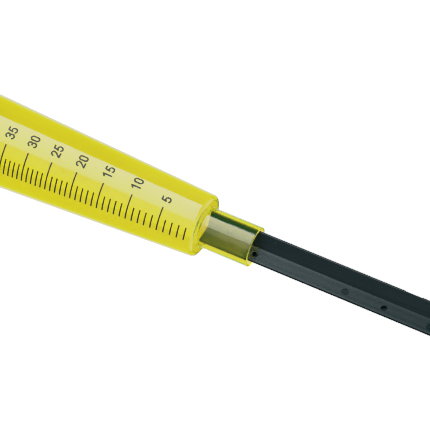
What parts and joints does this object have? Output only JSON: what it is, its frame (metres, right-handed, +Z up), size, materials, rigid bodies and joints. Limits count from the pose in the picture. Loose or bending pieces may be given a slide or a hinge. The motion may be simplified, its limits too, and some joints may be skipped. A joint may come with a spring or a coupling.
{
  "type": "rain gauge",
  "caption": "Clear conical rain gauge with a printed millimetre scale, whose socket slips over a Y-section ground stake.",
  "frame": {"origin": "the stake's point, on the gauge's axis", "axes": "+Z up along the axis of stake and vessel; the stake's pitted rib lies along -X, so its two blind pits open to -Y"},
  "size_m": [0.0556, 0.0556, 0.4388],
  "materials": {
    "clear_yellow": "clear yellow polystyrene, polished",
    "black_plastic": "moulded satin",
    "ink": "printed ink, satin"
  },
  "bodies": {
    "stake": {"ground_stake": "black_plastic"},
    "vessel": {"measuring_vessel": "clear_yellow", "scale_marks_short": "ink", "scale_marks_long": "ink", "scale_numerals": "ink"}
  },
  "joints": [
    {"name": "vessel_lift", "type": "slide", "parent": "stake", "child": "vessel", "axis": [0, 0, 1], "range_m": [0, 0.035]}
  ]
}
